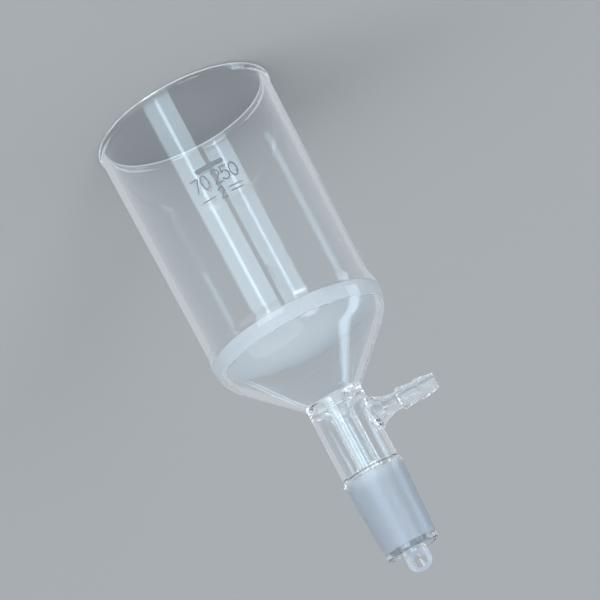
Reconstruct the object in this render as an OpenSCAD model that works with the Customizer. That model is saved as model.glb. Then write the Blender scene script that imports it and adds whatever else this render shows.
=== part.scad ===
// Fritted glass filter funnel with a vacuum side arm and a ground cone joint.
// Every glass part is drawn upright about one axis, with z = 0 at the large end
// of the ground cone. The finished funnel is then turned over to stand on its
// rim, the only way in which it stands by itself.

/* [Ground cone] */
// Diameter of the ground cone at its large end
cone_joint_d = 24; // [22:0.5:29]
// Length of the ground zone
cone_joint_h = 29; // [24:1:34]
// Length over which the ground cone narrows by 1 mm
cone_joint_taper = 10; // [8:1:14]
// Length of the clear, fire-polished end under the ground zone
clear_end_h = 2.4; // [1.6:0.1:4]
// Height of the clear shoulder above the ground zone
clear_shoulder_h = 3; // [2:0.1:5]
// How far the clear shoulder stands out past the ground zone
clear_shoulder_lip = 0.3; // [0.1:0.05:0.5]

/* [Jacket stem] */
// Height of the ring seal above the ground zone
ring_seal_h = 32.5; // [28:0.5:45]
// How far the jacket lies inside the large end of the ground cone
jacket_inset = 0.6; // [0.2:0.1:1.2]
// Wall of the jacket and of the ground cone
jacket_wall = 1.8; // [1.2:0.1:2.4]
// Radius of the ring seal's outside corner, under the bowl
ring_fillet = 2; // [0.5:0.1:4]

/* [Drip tube] */
// Outer diameter of the drip tube
drip_d = 9.4; // [7.6:0.1:11]
// Wall of the drip tube
drip_wall = 1.8; // [1:0.1:2.4]
// How far the tip reaches past the clear end of the cone
drip_reach = 7.8; // [7:0.1:16]
// Angle of the slanted cut at the tip
drip_cut_angle = 36; // [10:1:38]

/* [Bowl] */
// Outer diameter of the bowl under its rim bead
bowl_top_d = 73.6; // [68:0.2:84]
// Outer diameter of the bowl above the seal round the disc
bowl_bottom_d = 69.6; // [64:0.2:80]
// Height from the top of the disc to the rim
bowl_h = 96.5; // [70:0.5:150]
// Wall of the bowl and of its cone
bowl_wall = 2.5; // [1.8:0.1:3.2]
// How far the fire-polished bead stands out of the wall
rim_bead = 0.6; // [0.2:0.1:1.2]
// Height of the stretch under the rim where the wall swells into the bead
rim_swell_h = 4; // [3:0.5:8]
// How far the wall swells at the seal round the disc
seal_bulge = 0.6; // [0.2:0.1:1.2]
// Height over which the seal's swelling fades into the bowl
seal_fade_h = 4; // [2:0.5:8]
// Half angle of the cone under the disc
bowl_cone_angle = 45; // [40:1:50]
// Outer radius of the round shoulder between the cone and the bowl
shoulder_r = 16; // [12:0.5:20]

/* [Disc] */
// Thickness of the sintered disc
disc_h = 6; // [4:0.5:9]
// How far the disc's lower face lies under the start of the shoulder
disc_drop = 3.8; // [2:0.2:5]

/* [Side arm] */
// Distance of the side arm's axis under the ring seal
arm_drop = 11.9; // [9.5:0.1:16]
// Length from the jacket to the first barb
arm_neck_h = 10; // [9.5:0.1:16]
// Outer diameter of the arm between its flare and the barbs
arm_neck_d = 6.7; // [6:0.1:8]
// Bore of the side arm
arm_bore_d = 4.2; // [3:0.1:4.6]
// Diameter of the arm's flare where it leaves the jacket
flare_d = 14.2; // [11:0.1:16]
// Radius of the flare, seen from the side
flare_r = 13.5; // [10:0.5:16]
// Radius of the flare, seen along the funnel's axis
flare_side_r = 6; // [3:0.5:8]
// Number of barbs on the hose tail
barb_count = 2; // [1:1:4]
// Length of one barb
barb_h = 7.7; // [6:0.1:9]
// Diameter of the first barb at its step
barb_d = 9; // [8.4:0.1:10]
// How much a barb narrows from its step to its end
barb_taper = 2; // [1:0.1:2.2]
// How much narrower each barb is than the one before it
barb_shrink = 0.5; // [0:0.1:0.6]

/* [Hidden] */
$fn = 96;
ARC_STEPS = 10;

// Radii of the jacket, the ground cone and the drip tube
joint_r = cone_joint_d / 2;
joint_end_r = joint_r - cone_joint_h / cone_joint_taper / 2;
jacket_r = joint_r - jacket_inset;
jacket_bore_r = jacket_r - jacket_wall;
joint_end_bore_r = joint_end_r - jacket_wall;
drip_r = drip_d / 2;
drip_bore_r = drip_r - drip_wall;

// Levels of the ground cone's end and of the drip tube's tip
joint_end_z = -cone_joint_h - clear_end_h;
tip_z = joint_end_z - drip_reach;

// The bowl's cone: its outside meets the jacket at the ring seal
cone_apex_z = ring_seal_h - jacket_r / tan(bowl_cone_angle);
cone_wall_rise = bowl_wall / sin(bowl_cone_angle);
seal_r = bowl_bottom_d / 2 + seal_bulge;
seal_bore_r = bowl_bottom_d / 2 - bowl_wall;
shoulder_z = cone_apex_z + seal_r / tan(bowl_cone_angle) + tangent_length(shoulder_r);
shoulder_bore_r = shoulder_r - bowl_wall;
shoulder_bore_z =
    cone_apex_z + cone_wall_rise + seal_bore_r / tan(bowl_cone_angle) + tangent_length(shoulder_bore_r);

// The disc stands on the ledge where its seat ends, inside the shoulder
disc_z = shoulder_bore_z - disc_drop;
disc_top_z = disc_z + disc_h;
seal_top_z = max(disc_top_z, shoulder_z);

// The rim
bowl_top_r = bowl_top_d / 2;
bowl_bottom_r = bowl_bottom_d / 2;
rim_z = disc_top_z + bowl_h;
rim_r = bowl_top_r + rim_bead;
rim_round = (bowl_wall + rim_bead) / 2;

// The throat, where the cone turns into the drip tube
throat_fillet = 3;
ring_round = 1.4;

// The side arm
arm_z = ring_seal_h - arm_drop;
arm_neck_r = arm_neck_d / 2;
arm_bore_r = arm_bore_d / 2;
barbs_x = jacket_r + arm_neck_h;
arm_reach = barbs_x + barb_count * barb_h;
barb_end_r = barb_end(barb_count - 1);
barb_round = 1;
tail_round = 0.45;
flare_step = flare_d / 2 - arm_neck_r;
flare_h = sqrt(flare_r ^ 2 - (flare_r - flare_step) ^ 2);
bore_flare_step = flare_step * 0.6;
bore_flare_h = sqrt(flare_r ^ 2 - (flare_r - bore_flare_step) ^ 2);

// Length of the tangents of an arc that joins the bowl's cone to an upright line
function tangent_length(r) = r * tan(bowl_cone_angle / 2);

// Radius of a barb at its step and at its end, counted from the jacket
function barb_r(i) = (barb_d - i * barb_shrink) / 2;
function barb_end(i) = barb_r(i) - barb_taper / 2;

// Points along an arc
function arc(x, y, r, from, to) =
    [for (i = [0:ARC_STEPS]) let (a = from + (to - from) * i / ARC_STEPS) [x + r * cos(a), y + r * sin(a)]];

// Points of a soft step from one radius and level to another
function soft_step(r1, z1, r2, z2) =
    [for (i = [0:ARC_STEPS]) let (t = i / ARC_STEPS)
        [r1 + (r2 - r1) * (1 - cos(180 * t)) / 2, z1 + (z2 - z1) * t]];

// Radius of the bowl's outside at a level between the seal and the rim
function bowl_r(z) =
    bowl_bottom_r + (bowl_top_r - bowl_bottom_r) * (z - seal_top_z) / (rim_z - seal_top_z);

// Over the rim and down the outside of the glass to the clear end of the ground cone
function outside() = concat(
    arc(rim_r - rim_round, rim_z - rim_round, rim_round, 180, 0),
    soft_step(rim_r, rim_z - rim_round, bowl_r(rim_z - rim_swell_h), rim_z - rim_swell_h),
    soft_step(bowl_r(seal_top_z + seal_fade_h), seal_top_z + seal_fade_h, seal_r, seal_top_z),
    arc(seal_r - shoulder_r, shoulder_z, shoulder_r, 0, -bowl_cone_angle),
    arc(jacket_r + ring_fillet, ring_seal_h - tangent_length(ring_fillet), ring_fillet,
        180 - bowl_cone_angle, 180),
    soft_step(jacket_r, clear_shoulder_h, joint_r + clear_shoulder_lip, 0.5),
    [[joint_r, 0], [joint_end_r, -cone_joint_h]],
    arc(joint_end_r - jacket_wall / 2, joint_end_z + jacket_wall / 2, jacket_wall / 2, 0, -180)
);

// Inside of the jacket, from the clear end up to the ring seal
function jacket_inside() = concat(
    [[joint_end_bore_r, -cone_joint_h], [jacket_bore_r, 0]],
    arc(jacket_bore_r - ring_round,
        cone_apex_z + jacket_bore_r / tan(bowl_cone_angle) - ring_round / tan(bowl_cone_angle / 2),
        ring_round, 0, 180 - bowl_cone_angle)
);

// Outside of the drip tube, from its throat down to the tip
function drip_outside() = concat(
    arc(drip_r + throat_fillet, cone_apex_z + drip_r / tan(bowl_cone_angle) - tangent_length(throat_fillet),
        throat_fillet, 180 - bowl_cone_angle, 180),
    [[drip_r, tip_z]]
);

// Inside of the drip tube, the cone and the bowl, from the tip up to the rim
function bowl_inside() = concat(
    [[drip_bore_r, tip_z]],
    arc(drip_bore_r + throat_fillet,
        cone_apex_z + cone_wall_rise + drip_bore_r / tan(bowl_cone_angle) - tangent_length(throat_fillet),
        throat_fillet, 180, 180 - bowl_cone_angle),
    arc(seal_bore_r - shoulder_bore_r, shoulder_bore_z, shoulder_bore_r, -bowl_cone_angle,
        -asin(disc_drop / shoulder_bore_r)),
    [[seal_bore_r, disc_z]],
    soft_step(seal_bore_r, seal_top_z, bowl_r(seal_top_z + seal_fade_h) - bowl_wall, seal_top_z + seal_fade_h)
);

// The blown and fused glass of revolution, as one shell
module shell() {
    rotate_extrude()
        polygon(concat(outside(), jacket_inside(), drip_outside(), bowl_inside()));
}

// Outline of one barb, from the end of what lies before it to the top of its step
function barb_outline(i) =
    let (x = barbs_x + i * barb_h, root_r = i == 0 ? arm_neck_r : barb_end(i - 1))
    [for (a = [0:15:90]) [x + barb_round * (1 - cos(a)), root_r + (barb_r(i) - root_r) * sin(a)]];

// Turns a half outline about the side arm's axis
module about_arm_axis() {
    translate([0, 0, arm_z])
        rotate([0, 90, 0])
            rotate_extrude()
                children();
}

// Outside of the arm: the flare, the neck and the barbs, as a solid rod
module arm_rod() {
    outline = concat(
        [[0, 0], [0, flare_d / 2]],
        flare_curve(flare_d / 2, flare_h, flare_step),
        [for (i = [0:barb_count - 1]) each barb_outline(i)],
        arc(arm_reach - tail_round, barb_end_r - tail_round, tail_round, 90, 0),
        [[arm_reach, 0]]
    );
    about_arm_axis()
        polygon([for (p = outline) [p.y, p.x]]);
}

// Points along a flare that leaves the jacket at radius r and eases into a tube
function flare_curve(r, h, step) =
    [for (i = [0:ARC_STEPS]) let (x = h * i / ARC_STEPS)
        [jacket_r + x, r - step + flare_r - sqrt(flare_r ^ 2 - (h - x) ^ 2)]];

// The arm as seen along the funnel's axis, where its flare runs into the jacket's side
module flare_plan() {
    side_x = sqrt((jacket_r + flare_side_r) ^ 2 - (arm_neck_r + flare_side_r) ^ 2);
    side_angle = atan((arm_neck_r + flare_side_r) / side_x);
    half = concat(
        [[0, 0], [jacket_r * cos(side_angle), jacket_r * sin(side_angle)]],
        arc(side_x, arm_neck_r + flare_side_r, flare_side_r, 180 + side_angle, 270),
        [[side_x, flare_d / 2], [arm_reach + 1, flare_d / 2], [arm_reach + 1, 0]]
    );
    polygon(half);
    mirror([0, 1, 0])
        polygon(half);
}

// The side arm, starting inside the jacket's wall
module side_arm() {
    difference() {
        intersection() {
            arm_rod();
            translate([0, 0, arm_z - flare_d])
                linear_extrude(2 * flare_d)
                    flare_plan();
        }
        translate([0, 0, arm_z - flare_d])
            cylinder(h = 2 * flare_d, r = jacket_r - jacket_wall / 2);
    }
}

// Bore of the side arm, from the gap round the drip tube to the open end
module arm_bore() {
    bore_start_x = jacket_bore_r - 1.5;
    outline = concat(
        [[bore_start_x, 0], [bore_start_x, arm_bore_r + bore_flare_step]],
        flare_curve(arm_bore_r + bore_flare_step, bore_flare_h, bore_flare_step),
        [[arm_reach + 1, arm_bore_r], [arm_reach + 1, 0]]
    );
    about_arm_axis()
        polygon([for (p = outline) [p.y, p.x]]);
}

// What the slanted cut takes off the drip tube's tip, clear of the ground cone's wall
module tip_cut() {
    size = 4 * drip_d;
    intersection() {
        translate([0, drip_r, tip_z])
            rotate([-drip_cut_angle, 0, 0])
                translate([-size / 2, -size, -size])
                    cube(size);
        translate([0, 0, tip_z - 1])
            cylinder(h = size, r = (drip_r + joint_end_bore_r) / 2);
    }
}

// Turns the upright funnel over, so that it stands on its rim at z = 0
module stand_on_rim() {
    translate([0, 0, rim_z])
        rotate([180, 0, 0])
            children();
}

// Bowl, cone, ring seal, drip tube, jacket, ground cone and side arm, fused in one
module glass_body() {
    color([0.86, 0.92, 0.94, 0.45])
        stand_on_rim()
            difference() {
                union() {
                    shell();
                    side_arm();
                }
                arm_bore();
                tip_cut();
            }
}

// Sintered glass disc, seated in the bowl's wall on the shoulder's ledge
module fritted_disc() {
    color([0.93, 0.95, 0.97])
        stand_on_rim()
            translate([0, 0, disc_z])
                cylinder(h = disc_h, r = seal_bore_r);
}

glass_body();
fritted_disc();
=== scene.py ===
# %% [markdown]
# # A fritted glass filter funnel
# The real object is one piece of blown borosilicate glass with a white sintered disc fused across its bowl.
# A vacuum side arm and a ground cone joint sit on its stem. The solids come from the CAD frame, which is
# loaded first and keeps its place and size. This script gives the funnel its finishes, a floor, lamps and a
# camera.

# %% Load the frame
import math

import bpy
from mathutils import Matrix, Vector, noise


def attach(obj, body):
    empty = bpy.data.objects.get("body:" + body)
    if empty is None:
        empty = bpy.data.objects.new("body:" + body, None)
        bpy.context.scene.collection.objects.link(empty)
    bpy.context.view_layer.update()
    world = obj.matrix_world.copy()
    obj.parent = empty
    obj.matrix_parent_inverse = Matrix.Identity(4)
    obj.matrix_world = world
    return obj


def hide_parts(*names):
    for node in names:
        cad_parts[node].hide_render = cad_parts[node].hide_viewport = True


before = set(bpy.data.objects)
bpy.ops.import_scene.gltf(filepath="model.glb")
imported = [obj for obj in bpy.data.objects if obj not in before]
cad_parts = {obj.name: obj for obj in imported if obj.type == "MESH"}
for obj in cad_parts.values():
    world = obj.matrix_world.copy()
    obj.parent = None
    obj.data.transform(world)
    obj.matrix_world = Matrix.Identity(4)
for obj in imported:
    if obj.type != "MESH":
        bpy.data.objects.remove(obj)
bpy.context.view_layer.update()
scene = bpy.context.scene

# %% [markdown]
# ## Levels and radii
# The funnel stands on its rim, so heights run from the rim (0) up to the drip tip. The levels and radii
# below are the funnel's own. They could be measured from the mesh, but as plain numbers they are easy to
# compare with a drawing. Blender counts in metres, so each is a number of millimetres times MM.

# %% Levels and radii of the funnel
MM = 0.001
cone_low, cone_high = 161.227 * MM, 190.227 * MM
cone_inside_r = 10.2 * MM
disc_low, disc_high = 96.5 * MM, 102.5 * MM
disc_r = 32.3 * MM
bowl_rim_r, bowl_seal_r = 36.8 * MM, 34.8 * MM


def wall_r(z):
    """Outer radius of the bowl's wall at a height between the rim and the disc."""
    return bowl_rim_r + (bowl_seal_r - bowl_rim_r) * z / disc_low


print("ground cone:", round(cone_high - cone_low, 4), "m long; disc:", round(2 * disc_r, 4), "m wide")

# %% [markdown]
# ## Camera
# The camera looks down on the funnel by about fifteen degrees from 0.7 metres away, with a long lens, and
# is rolled so far that the rim comes to the view's upper left. A location and three turns could say this
# too, but a roll is hard to read in them. Three directions at right angles are plainer: the view's right,
# its up, and the way back to the lens. They are squared up once more, because written numbers are rounded.

# %% Camera
view_right = Vector((0.8815, -0.1264, 0.4549))
view_up = Vector((0.4721, 0.2359, -0.8493))
view_back = view_right.cross(view_up).normalized()
view_right = view_up.cross(view_back).normalized()
view_up = view_back.cross(view_right)
lens = bpy.data.cameras.new("camera")
lens.lens = 110.16
lens.sensor_width = 36
lens.clip_start = 0.05
lens.clip_end = 30
camera = bpy.data.objects.new("camera", lens)
camera_place = Matrix.Translation((0.0064, 0.674, 0.2757))
camera.matrix_world = camera_place @ Matrix((view_right, view_up, view_back)).transposed().to_4x4()
scene.collection.objects.link(camera)
scene.camera = camera
print("camera looks along", [round(c, 4) for c in -view_back])

# %% [markdown]
# ## Helpers
# Node materials take many small steps, so three helpers keep the cells short. One starts a material with
# its shader on the output, one adds a node and sets its inputs by name, and one starts a node group. A
# fourth turns points and faces into an object.

# %% Helpers
def add(tree, kind, settings=None, **inputs):
    """A new node; inputs are named as on the node, with underscores for spaces."""
    node = tree.nodes.new(kind)
    for key, value in (settings or {}).items():
        setattr(node, key, value)
    for key, value in inputs.items():
        node.inputs[key.replace("_", " ")].default_value = value
    return node


def new_material(name, kind="ShaderNodeBsdfPrincipled", **inputs):
    """A material, its node tree and its one shader, which is already on the output."""
    made = bpy.data.materials.new(name)
    made.use_nodes = True
    tree = made.node_tree
    tree.nodes.clear()
    shader = add(tree, kind, **inputs)
    tree.links.new(shader.outputs[0], add(tree, "ShaderNodeOutputMaterial").inputs["Surface"])
    return made, tree, shader


def new_group(name, sockets):
    """A node group with (name, kind, way, start value) sockets, and its input and output nodes."""
    made = bpy.data.node_groups.new(name, "ShaderNodeTree")
    for label, kind, way, start in sockets:
        socket = made.interface.new_socket(label, in_out=way, socket_type=kind)
        if start is not None:
            socket.default_value = start
    return made, made.nodes.new("NodeGroupInput"), made.nodes.new("NodeGroupOutput")


def new_piece(name, points, faces, material):
    """An object in the scene with a mesh of these points and faces."""
    mesh = bpy.data.meshes.new(name)
    mesh.from_pydata(points, [], faces)
    mesh.materials.append(material)
    made = bpy.data.objects.new(name, mesh)
    scene.collection.objects.link(made)
    return made


print("helpers ready")

# %% [markdown]
# ## Grain
# A sintered disc is a mass of fused grains, and a ground joint is scratched all over by grit. Both are a
# fine random relief, so one node group makes it and each material sets its own scale. Voronoi cells give
# separate grains, and noise breaks up their pattern.

# %% Node group: grain
FLOAT = "NodeSocketFloat"
grain, grain_in, grain_out = new_group("grain", [
    ("Size", FLOAT, "INPUT", 0.0004),
    ("Cells", FLOAT, "INPUT", 0.5),
    ("Height", FLOAT, "OUTPUT", None),
    ("Flecks", FLOAT, "OUTPUT", None),
])
place = add(grain, "ShaderNodeTexCoord")
per_metre = add(grain, "ShaderNodeMath", {"operation": "DIVIDE"})
per_metre.inputs[0].default_value = 1.0
grain.links.new(grain_in.outputs["Size"], per_metre.inputs[1])
cells = add(grain, "ShaderNodeTexVoronoi", {"feature": "F1"}, Randomness=1.0)
speckle = add(grain, "ShaderNodeTexNoise", Detail=4.0, Roughness=0.6)
for texture in (cells, speckle):
    grain.links.new(place.outputs["Object"], texture.inputs["Vector"])
    grain.links.new(per_metre.outputs[0], texture.inputs["Scale"])
blend = add(grain, "ShaderNodeMix", {"data_type": "FLOAT"})
grain.links.new(grain_in.outputs["Cells"], blend.inputs["Factor"])
grain.links.new(speckle.outputs["Fac"], blend.inputs["A"])
grain.links.new(cells.outputs["Distance"], blend.inputs["B"])
grain.links.new(blend.outputs["Result"], grain_out.inputs["Height"])
flecks = add(grain, "ShaderNodeMapRange", From_Min=0.52, From_Max=0.72)
grain.links.new(speckle.outputs["Fac"], flecks.inputs["Value"])
grain.links.new(flecks.outputs["Result"], grain_out.inputs["Flecks"])
print("group:", grain.name, "with", len(grain.nodes), "nodes")

# %% [markdown]
# ## Drawn glass
# Tube glass is drawn out of a furnace and then turned in a lathe, so its surface has faint waves: long ones
# along the axis and short ones around it. They are far too low to see by themselves, but they make a
# reflection's edge wander. Noise that is stretched along the axis does it.

# %% Node group: drawn waves
waves, waves_in, waves_out = new_group("drawn_waves", [
    ("Across", FLOAT, "INPUT", 70.0),
    ("Along", FLOAT, "INPUT", 9.0),
    ("Height", FLOAT, "OUTPUT", None),
])
place = add(waves, "ShaderNodeTexCoord")
stretch = add(waves, "ShaderNodeCombineXYZ")
waves.links.new(waves_in.outputs["Across"], stretch.inputs["X"])
waves.links.new(waves_in.outputs["Across"], stretch.inputs["Y"])
waves.links.new(waves_in.outputs["Along"], stretch.inputs["Z"])
scaled = add(waves, "ShaderNodeVectorMath", {"operation": "MULTIPLY"})
waves.links.new(place.outputs["Object"], scaled.inputs[0])
waves.links.new(stretch.outputs[0], scaled.inputs[1])
swell = add(waves, "ShaderNodeTexNoise", Scale=1.0, Detail=2.0, Roughness=0.4)
waves.links.new(scaled.outputs[0], swell.inputs["Vector"])
waves.links.new(swell.outputs["Fac"], waves_out.inputs["Height"])
print("group:", waves.name)

# %% [markdown]
# ## Clear glass
# Borosilicate glass bends light a little less than window glass, so its index is 1.473. It is almost
# colourless: the base colour is a breath of blue, which adds up over the many walls that a ray crosses. The
# waves could be moulded into the mesh, but they are so low that a bump does. A helper links it, since the
# ground and the sintered glass take their relief the same way.

# %% Material: clear glass
def add_relief(tree, shader, source, strength, depth):
    """Links the height that a node puts out to a shader's normal, as a bump so many metres deep."""
    bump = add(tree, "ShaderNodeBump", Strength=strength, Distance=depth)
    tree.links.new(source.outputs["Height"], bump.inputs["Height"])
    tree.links.new(bump.outputs[0], shader.inputs["Normal"])


clear_glass, tree, shader = new_material("clear_glass", Base_Color=(0.965, 0.982, 0.99, 1), Roughness=0.0,
                                         IOR=1.473, Transmission_Weight=1.0)
ripple = add(tree, "ShaderNodeGroup", {"node_tree": waves})
add_relief(tree, shader, ripple, 0.35, 0.00006)
print("material:", clear_glass.name)

# %% [markdown]
# ## Ground glass
# The cone joint is ground with grit against a steel sleeve until it fits every socket of its size. The
# scratches scatter light both ways, so the zone is grey-white and only half lets light through. It is a
# part-transmitting surface with some roughness, the shared grain for its relief, and paler flecks where the
# grit bit deeper. The disc and the print take the grain in the same way, so a helper links it into a
# material.

# %% Material: ground glass
def add_grain(tree, shader, size, cells, plain, flecked):
    """Places the grain, grains so many metres wide, and mixes two colours by its flecks."""
    placed = add(tree, "ShaderNodeGroup", {"node_tree": grain}, Size=size, Cells=cells)
    tone = add(tree, "ShaderNodeMix", {"data_type": "RGBA"})
    tone.inputs["A"].default_value = plain
    tone.inputs["B"].default_value = flecked
    tree.links.new(placed.outputs["Flecks"], tone.inputs["Factor"])
    tree.links.new(tone.outputs["Result"], shader.inputs["Base Color"])
    return placed


ground_glass, tree, shader = new_material("ground_glass", Roughness=0.32, IOR=1.473, Transmission_Weight=0.5,
                                          Specular_IOR_Level=1.0)
grit = add_grain(tree, shader, 0.00022, 0.15, (0.49, 0.555, 0.63, 1), (0.68, 0.75, 0.83, 1))
add_relief(tree, shader, grit, 0.5, 0.00008)
print("material:", ground_glass.name)

# %% [markdown]
# ## The glass body
# The bowl, cone, stem, cone joint and side arm are one piece of glass. The CAD solid has the right shape,
# so its mesh is copied, and the copy gets two finishes. The outside of the cone joint and the slanted cut
# of the drip tip are ground, and all the other faces are clear. The cut is the only flat face up there that
# looks aside and up, so its direction finds it. The copy then stands for the CAD node.

# %% Glass body
cad_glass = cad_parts["glass_body"]
glass_body = bpy.data.objects.new("clear_glass_body", cad_glass.data.copy())
glass_body.matrix_world = cad_glass.matrix_world.copy()
scene.collection.objects.link(glass_body)
glass_body.data.materials.clear()
glass_body.data.materials.append(clear_glass)
glass_body.data.materials.append(ground_glass)
cut_angle = math.radians(36)
cut_direction = Vector((0, math.sin(cut_angle), math.cos(cut_angle)))
turn = glass_body.matrix_world.to_3x3()
ground_faces = 0
for face in glass_body.data.polygons:
    middle = glass_body.matrix_world @ face.center
    on_cone = cone_low < middle.z < cone_high and math.hypot(middle.x, middle.y) > cone_inside_r
    on_cut = middle.z > cone_high and (turn @ face.normal).dot(cut_direction) > 0.999
    face.material_index = 1 if on_cone or on_cut else 0
    ground_faces += on_cone or on_cut
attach(glass_body, "root")
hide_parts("glass_body")
print("faces:", len(glass_body.data.polygons), "of which ground:", ground_faces)

# %% [markdown]
# ## Sintered glass
# The disc is crushed glass, sieved to one grain size and heated until the grains just stick. Light scatters
# inside it, so it is white with soft shading. Its relief comes from the shared grain, drawn a little
# coarser than a real disc's, so that it still shows from a step away.

# %% Material: sintered glass
sintered_glass, tree, shader = new_material("sintered_glass", Roughness=0.62, IOR=1.473,
                                            Specular_IOR_Level=0.4)
grains = add_grain(tree, shader, 0.00055, 0.6, (0.87, 0.935, 0.985, 1), (0.75, 0.82, 0.90, 1))
add_relief(tree, shader, grains, 0.6, 0.00025)
print("material:", sintered_glass.name)

# %% [markdown]
# ## The sintered disc
# The disc is pressed hot into the softened wall, so its edge ends inside the glass and no air is left
# between them. That is why it looks as wide as the bowl itself. The mesh is an outline turned about the
# axis: a flat face, a slightly rounded corner, the edge, and the same again. Noise moves the outline's
# points, by little for the grains and by more, in long waves, for a disc that sagged a little in the kiln.

# %% Sintered disc
sunk = 0.35 * MM
corner = 0.5 * MM
fine_scale, sag_scale = 2400, 90
sag_offset = Vector((3, 7, 1))
steps_round = 360
face_steps, corner_steps, edge_steps = 44, 5, 12
disc_outline = [(disc_r * step / face_steps, disc_high) for step in range(1, face_steps)]
for step in range(corner_steps + 1):
    angle = math.radians(90 * step / corner_steps)
    disc_outline.append((disc_r + sunk - corner + corner * math.sin(angle),
                         disc_high - corner + corner * math.cos(angle)))
upper_half = list(disc_outline)
edge_h = disc_high - disc_low - 2 * corner
disc_outline += [(disc_r + sunk, disc_high - corner - edge_h * step / edge_steps)
                 for step in range(1, edge_steps)]
disc_outline += [(r, disc_low + disc_high - z) for r, z in reversed(upper_half)]
points = []
for r, z in disc_outline:
    for step in range(steps_round):
        angle = 2 * math.pi * step / steps_round
        spot = Vector((r * math.cos(angle), r * math.sin(angle), z))
        fine = noise.noise(spot * fine_scale)
        sag = noise.noise(spot * sag_scale + sag_offset)
        lift = (0.05 * fine + 0.10 * sag) * MM
        out = (0.04 * fine + 0.07 * sag) * MM if r > disc_r else 0.0
        points.append((spot.x * (1 + out / r), spot.y * (1 + out / r), spot.z + lift))
faces = []
for row in range(len(disc_outline) - 1):
    for step in range(steps_round):
        after = (step + 1) % steps_round
        a, b = row * steps_round, (row + 1) * steps_round
        faces.append((a + step, b + step, b + after, a + after))
for row, middle_z in ((0, disc_high), (len(disc_outline) - 1, disc_low)):
    middle = len(points)
    points.append((0, 0, middle_z))
    for step in range(steps_round):
        pair = (row * steps_round + step, row * steps_round + (step + 1) % steps_round)
        faces.append((middle, *pair) if row == 0 else (middle, *reversed(pair)))
disc = new_piece("sintered_disc", points, faces, sintered_glass)
disc.data.shade_smooth()
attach(disc, "root")
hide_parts("fritted_disc")
print("disc:", len(points), "points,", len(faces), "faces")

# %% [markdown]
# ## The printed mark
# A funnel carries its bowl's diameter, its volume and its porosity grade, printed through a screen in grey
# enamel that is fired into the wall. Each line of the print is drawn here as a path on flat paper, in
# millimetres, and then wrapped round the bowl. The film is a closed strip, a twentieth of a millimetre
# proud of the glass.

# %% Paths of the mark
def curve(x, y, rx, ry, first, last, steps=14):
    """Points along part of an ellipse, from one angle to another in degrees."""
    angles = [math.radians(first + (last - first) * step / steps) for step in range(steps + 1)]
    return [(x + rx * math.cos(a), y + ry * math.sin(a)) for a in angles]


# Every figure is drawn one unit wide and two units high, as one path. In mark_paths, each path has its
# half width.
figures = {
    "0": curve(0.5, 1.0, 0.5, 1.0, 90, 445, 40),
    "2": curve(0.5, 1.5, 0.5, 0.5, 165, -30) + [(0.0, 0.0), (1.0, 0.0)],
    "5": [(0.95, 2.0), (0.12, 2.0), (0.04, 1.12)] + curve(0.45, 0.66, 0.55, 0.66, 115, -150),
    "7": [(0.0, 2.0), (1.0, 2.0), (0.3, 0.0)],
}
mark_paths = [(0.9, [(-4.9, 3.6), (4.9, 3.6)])]


def write_row(text, y, height, half_line, gap):
    """Adds a row of figures, centred across the mark, with half the width of its lines."""
    width = height / 2
    places, x = [], 0.0
    for letter in text:
        places.append((letter, x))
        x += width * (1 if letter in figures else 0.25) + gap  # a space is a quarter as wide
    for letter, left in places:
        if letter in figures:
            start = left - (x - gap) / 2
            drawn = [(start + px * width, y + py * height / 2) for px, py in figures[letter]]
            mark_paths.append((half_line, drawn))


write_row("70 250", -4.1, 5.4, 0.29, 0.75)
write_row("2", -10.0, 4.2, 0.27, 0.6)
for left, right, y in ((-8.3, -3.2, -8.1), (3.2, 8.3, -7.2), (3.2, 8.3, -9.0)):
    mark_paths.append((0.2, [(left, y), (right, y)]))
print("paths in the mark:", len(mark_paths))

# %% [markdown]
# ## Strips round the bowl
# A path becomes a strip: it is cut into short steps so that it can bend with the wall, its width follows
# the path's direction, and both ends are rounded by narrowing the last steps.

# %% Enamel mark
mark_z = 40.2 * MM
film_top, film_under = 0.05 * MM, -0.05 * MM


def even_path(path, step=0.3):
    """The same path with a point at every step, in millimetres."""
    walked = [Vector(path[0])]
    for start, end in zip(path, path[1:]):
        start, end = Vector(start), Vector(end)
        count = max(1, round((end - start).length / step))
        walked += [start.lerp(end, (i + 1) / count) for i in range(count)]
    return walked


def round_ends(path, half):
    """Sections (point, direction, half width) along a path, with half-round ends."""
    ways = [(after - before).normalized() for before, after in
            zip([path[0]] + path[:-1], path[1:] + [path[-1]])]
    ways[0], ways[-1] = (path[1] - path[0]).normalized(), (path[-1] - path[-2]).normalized()
    caps = [math.radians(15 + 15 * step) for step in range(5)]
    first = [(path[0] - ways[0] * half * math.cos(a), ways[0], half * math.sin(a)) for a in caps]
    last = [(path[-1] + ways[-1] * half * math.cos(a), ways[-1], half * math.sin(a)) for a in reversed(caps)]
    return first + [(p, way, half) for p, way in zip(path, ways)] + last


def on_wall(spot, proud):
    """A flat point (mm, x to the right, y toward the rim) on the bowl's wall."""
    z = mark_z - spot.y * MM
    r = wall_r(z)
    angle = spot.x * MM / r
    return ((r + proud) * math.sin(angle), (r + proud) * math.cos(angle), z)


points, faces = [], []
for half, path in mark_paths:
    sections = round_ends(even_path(path), half)
    base = len(points)
    for spot, way, width in sections:
        side = Vector((-way.y, way.x)) * width
        for edge, proud in ((side, film_top), (-side, film_top), (-side, film_under), (side, film_under)):
            points.append(on_wall(spot + edge, proud))
    for row in range(len(sections) - 1):
        a, b = base + 4 * row, base + 4 * row + 4
        faces += [(a + i, a + (i + 1) % 4, b + (i + 1) % 4, b + i) for i in range(4)]
    end = base + 4 * (len(sections) - 1)
    faces += [(base + 3, base + 2, base + 1, base), (end, end + 1, end + 2, end + 3)]

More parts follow.
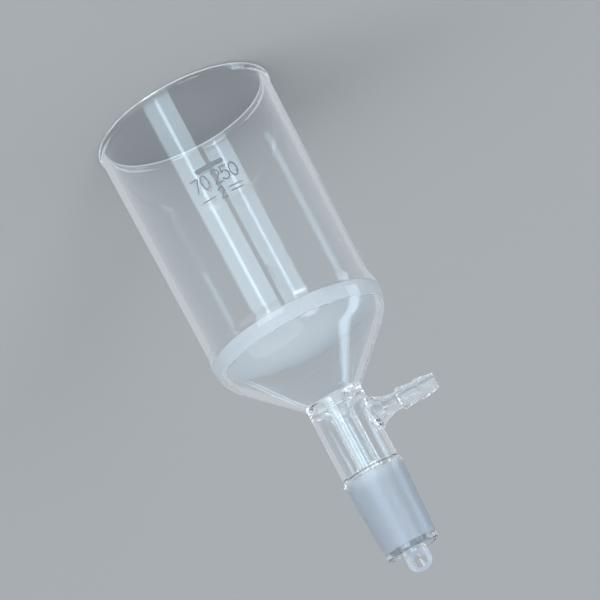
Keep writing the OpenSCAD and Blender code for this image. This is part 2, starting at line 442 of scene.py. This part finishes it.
enamel, tree, shader = new_material("grey_enamel", Roughness=0.55, IOR=1.5)
add_grain(tree, shader, 0.0006, 0.2, (0.17, 0.19, 0.22, 1), (0.30, 0.33, 0.37, 1))
mark = new_piece("enamel_mark", points, faces, enamel)
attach(mark, "root")
print("enamel mark:", len(faces), "faces")

# %% [markdown]
# ## Floor
# Clear glass shows what it mirrors. Its upright walls are seen from above, so they mirror what lies below
# the level of the table. The floor is plain and pale to the eye and takes the shadow, but it lets mirrored
# rays through, so that the light boxes under it can draw the long stripes that upright glass shows in a
# studio.

# %% Floor
def mirrored_only(tree, mix):
    """Sets a Mix Shader to its second shader for rays that were mirrored, and to its first for all others."""
    path = add(tree, "ShaderNodeLightPath")
    mirrored = add(tree, "ShaderNodeMath", {"operation": "GREATER_THAN"})
    mirrored.inputs[1].default_value = 0.5
    tree.links.new(path.outputs["Glossy Depth"], mirrored.inputs[0])
    tree.links.new(mirrored.outputs[0], mix.inputs["Fac"])


floor_paint, tree, out = new_material("floor_paint", "ShaderNodeMixShader")
mirrored_only(tree, out)
matt = add(tree, "ShaderNodeBsdfPrincipled", Base_Color=(0.43, 0.438, 0.446, 1), Roughness=0.9,
           Specular_IOR_Level=0.0)
tree.links.new(matt.outputs[0], out.inputs[1])
tree.links.new(add(tree, "ShaderNodeBsdfTransparent").outputs[0], out.inputs[2])
floor_corners = [(-8, -8, 0), (8, -8, 0), (8, 8, 0), (-8, 8, 0)]
floor = new_piece("floor", floor_corners, [(0, 1, 2, 3)], floor_paint)
print("floor:", floor.name)

# %% [markdown]
# ## Light
# A wide soft sun from the front left and an even sky light the scene. A second sun, low on the right,
# brightens what stands upright, the disc's edge and the ground cone, and hardly the floor. Area lamps could
# do this too, but they leave a bright pool on the floor. The outside of the glass doesn't mirror the suns:
# its reflections have lamps of their own.

# %% Sky and suns
world = bpy.data.worlds.new("studio")
scene.world = world
world.use_nodes = True
world.node_tree.nodes["Background"].inputs["Color"].default_value = (0.9, 0.95, 1.0, 1)
world.node_tree.nodes["Background"].inputs["Strength"].default_value = 0.60


def sun(name, place, energy, angle):
    """A sun that shines from a place toward the funnel, and is as wide as the angle in degrees."""
    made = bpy.data.objects.new(name, bpy.data.lights.new(name, "SUN"))
    made.data.energy = energy
    made.data.color = (0.93, 0.965, 1.0)
    made.data.angle = math.radians(angle)
    made.rotation_euler = (-Vector(place)).to_track_quat("-Z", "Y").to_euler()
    made.visible_glossy = False
    scene.collection.objects.link(made)


sun("soft_sun", (-0.7, 1.0, 0.70), 2.0, 80)
sun("low_sun", (0.8, 1.6, 0.33), 1.5, 26)

# %% [markdown]
# ## Light boxes
# In a studio, clear glass is drawn by what it mirrors. These boxes are seen only in reflections. Each is a
# card that faces the funnel, and stands upright or leans a little. Its bearing is 0 on the camera's side and
# 90 on the side arm's, and it reaches from a low to a high angle, seen from a tenth of a metre over the
# floor. A ramp across the card sets its brightness, with a bright tube in the middle of the front box. That
# box draws the two long stripes, on the near wall and the far one. The two boxes on the right draw the
# thinner streaks near the bowl's sides and down its cone, and the left one a short arc.

# %% Light boxes
box_level = 0.1
daylight = (0.70, 0.88, 1.0)  # a little blue


def light_box(name, bearing, width, low, high, strength, stops, far=4.0, lean=0):
    """A card that stands so many metres away; bearing, width, low, high and lean are in degrees."""
    paint, tree, out = new_material(name, "ShaderNodeMixShader")
    paint.cycles.emission_sampling = "NONE"
    mirrored_only(tree, out)
    glow = add(tree, "ShaderNodeEmission", Strength=strength)
    tree.links.new(add(tree, "ShaderNodeBsdfTransparent").outputs[0], out.inputs[1])
    tree.links.new(glow.outputs[0], out.inputs[2])
    place = add(tree, "ShaderNodeTexCoord")
    split = add(tree, "ShaderNodeSeparateXYZ")
    ramp = add(tree, "ShaderNodeValToRGB")
    while len(ramp.color_ramp.elements) < len(stops):
        ramp.color_ramp.elements.new(0.5)
    for element, (position, level) in zip(ramp.color_ramp.elements, stops):
        element.position = position
        element.color = (*(part * level for part in daylight), 1)
    tree.links.new(place.outputs["Generated"], split.inputs[0])
    tree.links.new(split.outputs["X"], ramp.inputs[0])
    tree.links.new(ramp.outputs[0], glow.inputs["Color"])
    half = far * math.tan(math.radians(width / 2))
    bottom, top = (far * math.tan(math.radians(rise)) for rise in (low, high))
    corners = [(-half, 0, bottom), (half, 0, bottom), (half, 0, top), (-half, 0, top)]
    card = new_piece(name, corners, [(0, 1, 2, 3)], paint)
    side = math.radians(bearing)
    card.rotation_euler = (0, math.radians(lean), -side)
    card.location = (far * math.sin(side), far * math.cos(side), box_level)
    card.visible_camera = card.visible_diffuse = card.visible_shadow = False


tube = [(0.0, 0.46), (0.42, 0.46), (0.47, 1.0), (0.53, 1.0), (0.58, 0.46), (1.0, 0.46)]
even = [(0.0, 1.0), (1.0, 1.0)]
light_box("front_box", -20.6, 36.2, -50, -3, 9.0, tube)
light_box("right_low_box", 86.3, 6.6, -26.2, -13.8, 2.4, even, 0.4)
light_box("right_box", 91, 18, -9, 72, 4.1, even, 1.0, 8)
light_box("left_box", -133.3, 10, 26, 29, 2.6, even, 0.236)

# %% [markdown]
# ## Finish
# The view stays standard, so that the colours come out about as written. Light turns many times inside a
# thick tube wall before it gets out, so more turns are followed than usual, or the ring seal and the drip
# tip would come out black.

# %% Finish
scene.view_settings.view_transform = "Standard"
scene.cycles.max_bounces = 96
scene.cycles.glossy_bounces = 80
scene.cycles.transmission_bounces = 24
